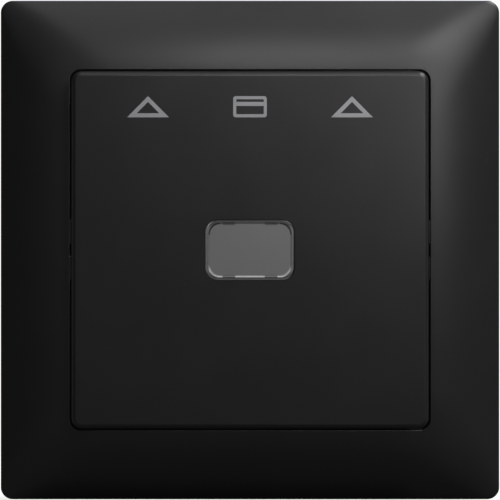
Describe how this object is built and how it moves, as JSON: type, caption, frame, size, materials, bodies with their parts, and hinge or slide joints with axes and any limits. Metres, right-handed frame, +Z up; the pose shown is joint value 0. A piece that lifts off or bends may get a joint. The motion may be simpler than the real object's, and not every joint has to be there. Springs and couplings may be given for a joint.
{
  "type": "hotel key card switch",
  "caption": "Flush-mounted wall switch with a card pocket: a card pushed in from the top tilts a lever that closes a contact behind a square plate and frame.",
  "frame": {"origin": "Middle of the wall box's screw circle, in the plane of the wall: the middle of the back of the cover frame and of the support ring.", "axes": "+Z is up, +X is to the right seen from the front, the front faces -Y and the switch base stands behind the wall plane at +Y."},
  "size_m": [0.0804, 0.0379, 0.0804],
  "materials": {
    "black_cover": "satin black moulded plastic with a fine grain",
    "smoked_lens": "smoked grey translucent plastic, soft satin face",
    "inner_black": "black moulded plastic, plain tool finish",
    "clear_window": "clear moulded plastic pane",
    "lever_grey": "grey low-friction plastic",
    "steel_pin": "drawn steel wire, bright",
    "zinc_ring": "zinc-plated pressed steel sheet",
    "base_moulding": "light grey thermoset moulding",
    "cover_moulding": "light grey moulded plastic",
    "zinc_screw": "zinc-plated steel screw",
    "plunger_white": "natural white low-friction plastic",
    "spring_steel": "stainless spring steel",
    "contact_brass": "rolled brass strip",
    "silver_tip": "fine silver contact on a brass rivet",
    "guide_grey": "mid grey moulded plastic",
    "release_orange": "orange moulded plastic",
    "circuit_board": "green coated circuit board",
    "led_clear": "clear lamp body",
    "resistor_body": "beige lacquer",
    "claw_steel": "zinc-plated spring steel"
  },
  "bodies": {
    "insert": {"cover_frame": "black_cover", "centre_plate": "black_cover", "lens": "smoked_lens", "card_guide": "inner_black", "light_window": "clear_window", "lever_pin": "steel_pin", "support_ring": "zinc_ring", "switch_base": "base_moulding", "switch_cover": "cover_moulding", "cover_screws": "zinc_screw", "plunger_spring": "spring_steel", "fixed_tips": "silver_tip", "fixed_contact_left": "contact_brass", "fixed_contact_right": "contact_brass", "clamp_springs_left": "spring_steel", "clamp_springs_right": "spring_steel", "wire_guide_left": "guide_grey", "wire_guide_right": "guide_grey", "lamp_contact_left": "contact_brass", "lamp_contact_right": "contact_brass", "lamp_board": "circuit_board", "lamp_pins": "contact_brass", "lamp_led": "led_clear", "lamp_resistor": "resistor_body"},
    "card_lever": {"card_lever": "lever_grey"},
    "plunger": {"plunger": "plunger_white", "contact_bridge": "contact_brass", "bridge_tips": "silver_tip"},
    "release_button_left": {"release_button_left": "release_orange"},
    "release_button_right": {"release_button_right": "release_orange"},
    "claw_screw_upper": {"claw_screw_upper": "zinc_screw"},
    "claw_screw_lower": {"claw_screw_lower": "zinc_screw"},
    "claw_nut_upper": {"claw_nut_upper": "zinc_screw"},
    "claw_nut_lower": {"claw_nut_lower": "zinc_screw"},
    "claw_upper": {"claw_upper": "claw_steel"},
    "claw_lower": {"claw_lower": "claw_steel"}
  },
  "joints": [
    {"name": "card_lever_tilt", "type": "hinge", "parent": "insert", "child": "card_lever", "pos_m": [0, -0.0067, -0.0225], "axis": [-1, 0, 0], "range_deg": [0, 6.5]},
    {"name": "plunger_press", "type": "slide", "parent": "insert", "child": "plunger", "axis": [0, 1, 0], "range_m": [0, 0.00142], "stiffness_N_per_m": 300, "springref_m": -0.0005, "deforming": ["plunger_spring"]},
    {"name": "release_button_left_press", "type": "slide", "parent": "insert", "child": "release_button_left", "axis": [0, -1, 0], "range_m": [0, 0.0015], "stiffness_N_per_m": 400, "deforming": ["clamp_springs_left"]},
    {"name": "release_button_right_press", "type": "slide", "parent": "insert", "child": "release_button_right", "axis": [0, -1, 0], "range_m": [0, 0.0015], "stiffness_N_per_m": 400, "deforming": ["clamp_springs_right"]},
    {"name": "claw_screw_upper_turn", "type": "hinge", "parent": "insert", "child": "claw_screw_upper", "pos_m": [0, 0, 0.0229], "axis": [0, 1, 0], "range_deg": [0, 2592]},
    {"name": "claw_nut_upper_travel", "type": "slide", "parent": "insert", "child": "claw_nut_upper", "axis": [0, -1, 0], "range_m": [0, 0.00361]},
    {"name": "claw_upper_spread", "type": "slide", "parent": "insert", "child": "claw_upper", "axis": [0, -0.8192, 0.5736], "range_m": [0, 0.00439]},
    {"name": "claw_screw_lower_turn", "type": "hinge", "parent": "insert", "child": "claw_screw_lower", "pos_m": [0, 0, -0.0229], "axis": [0, 1, 0], "range_deg": [0, 2592]},
    {"name": "claw_nut_lower_travel", "type": "slide", "parent": "insert", "child": "claw_nut_lower", "axis": [0, -1, 0], "range_m": [0, 0.00361]},
    {"name": "claw_lower_spread", "type": "slide", "parent": "insert", "child": "claw_lower", "axis": [0, -0.8192, -0.5736], "range_m": [0, 0.00439]}
  ],
  "couplings": [
    {"joint": "card_lever_tilt", "follows": "plunger_press", "rad_per_m": 79.645},
    {"joint": "claw_screw_upper_turn", "follows": "claw_upper_spread", "rad_per_m": 10294},
    {"joint": "claw_nut_upper_travel", "follows": "claw_upper_spread", "ratio": 0.81915},
    {"joint": "claw_screw_lower_turn", "follows": "claw_lower_spread", "rad_per_m": 10294},
    {"joint": "claw_nut_lower_travel", "follows": "claw_lower_spread", "ratio": 0.81915}
  ]
}
